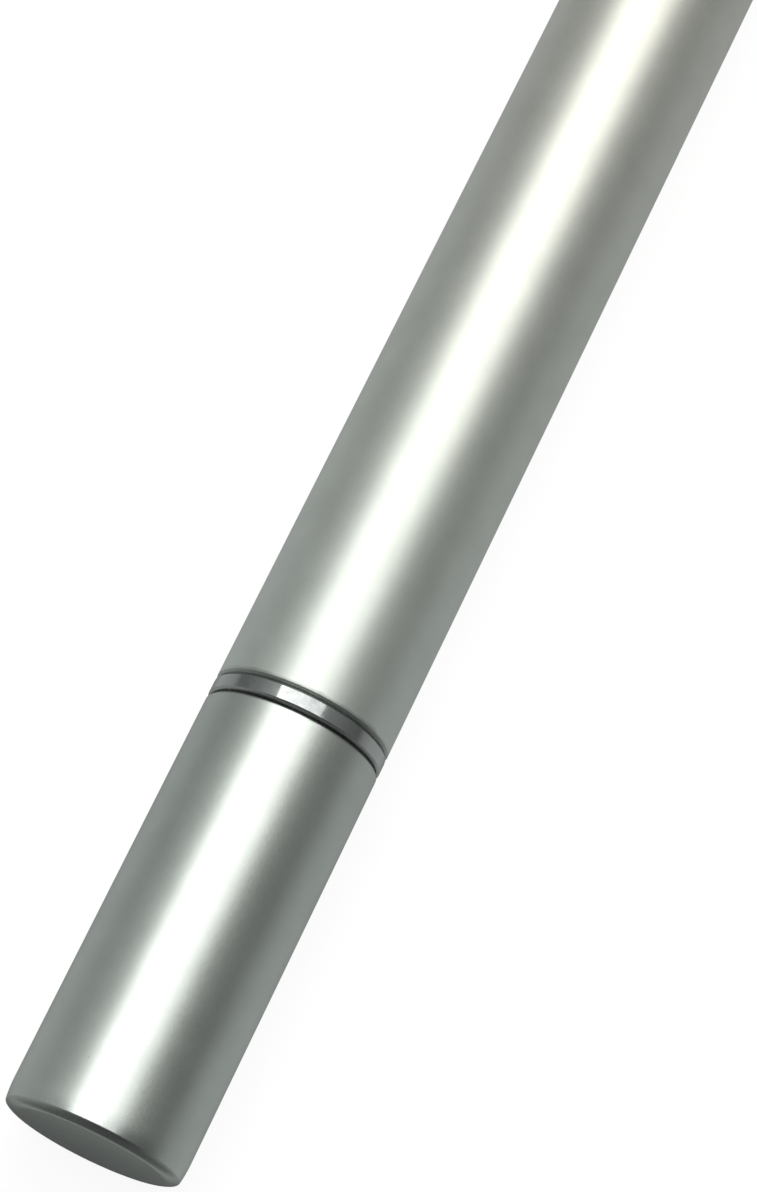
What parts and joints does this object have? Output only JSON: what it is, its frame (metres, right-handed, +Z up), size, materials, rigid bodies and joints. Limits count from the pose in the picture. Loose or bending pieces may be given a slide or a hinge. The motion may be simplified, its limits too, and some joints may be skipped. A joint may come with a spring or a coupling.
{
  "type": "stylus pen",
  "caption": "Round satin metal stylus pen with a bright seat ring, a magnetic pull-off cap over a swivelling clear disc nib, and a soft fibre tip at the far end.",
  "frame": {"origin": "on the surface that the pen lies on, under the middle of its length", "axes": "+X along the pen towards the capped disc nib, +Z up"},
  "size_m": [0.1342, 0.009, 0.009],
  "materials": {
    "satin_aluminium": "satin",
    "polished_plating": "mirror",
    "satin_plating": "satin",
    "stainless": "turned",
    "brass": "turned",
    "magnet_nickel": "nickel plated",
    "clear_plastic": "clear",
    "black_plastic": "matte",
    "foam": "matte",
    "silicone": "matte",
    "knit": "knitted"
  },
  "bodies": {
    "pen": {"barrel": "satin_aluminium", "trim_ring": "polished_plating", "front_bush": "brass", "nose_section": "satin_plating", "nib_stem": "stainless", "tail_bush": "brass", "tail_ferrule": "polished_plating", "tip_base": "brass", "tip_core": "silicone", "fibre_tip": "knit"},
    "disc_nib": {"disc": "clear_plastic", "disc_socket": "stainless", "disc_film": "clear_plastic"},
    "cap": {"cap_shell": "satin_aluminium", "cap_magnet": "magnet_nickel", "cap_liner": "black_plastic", "cap_pad": "foam"}
  },
  "joints": [
    {"name": "cap_pull", "type": "slide", "parent": "pen", "child": "cap", "axis": [1, 0, 0], "range_m": [0, 0.045]},
    {"name": "disc_tilt", "type": "hinge", "parent": "pen", "child": "disc_nib", "pos_m": [0.0594, 0, 0.0045], "axis": [0, 1, 0], "range_deg": [-35, 35]}
  ]
}
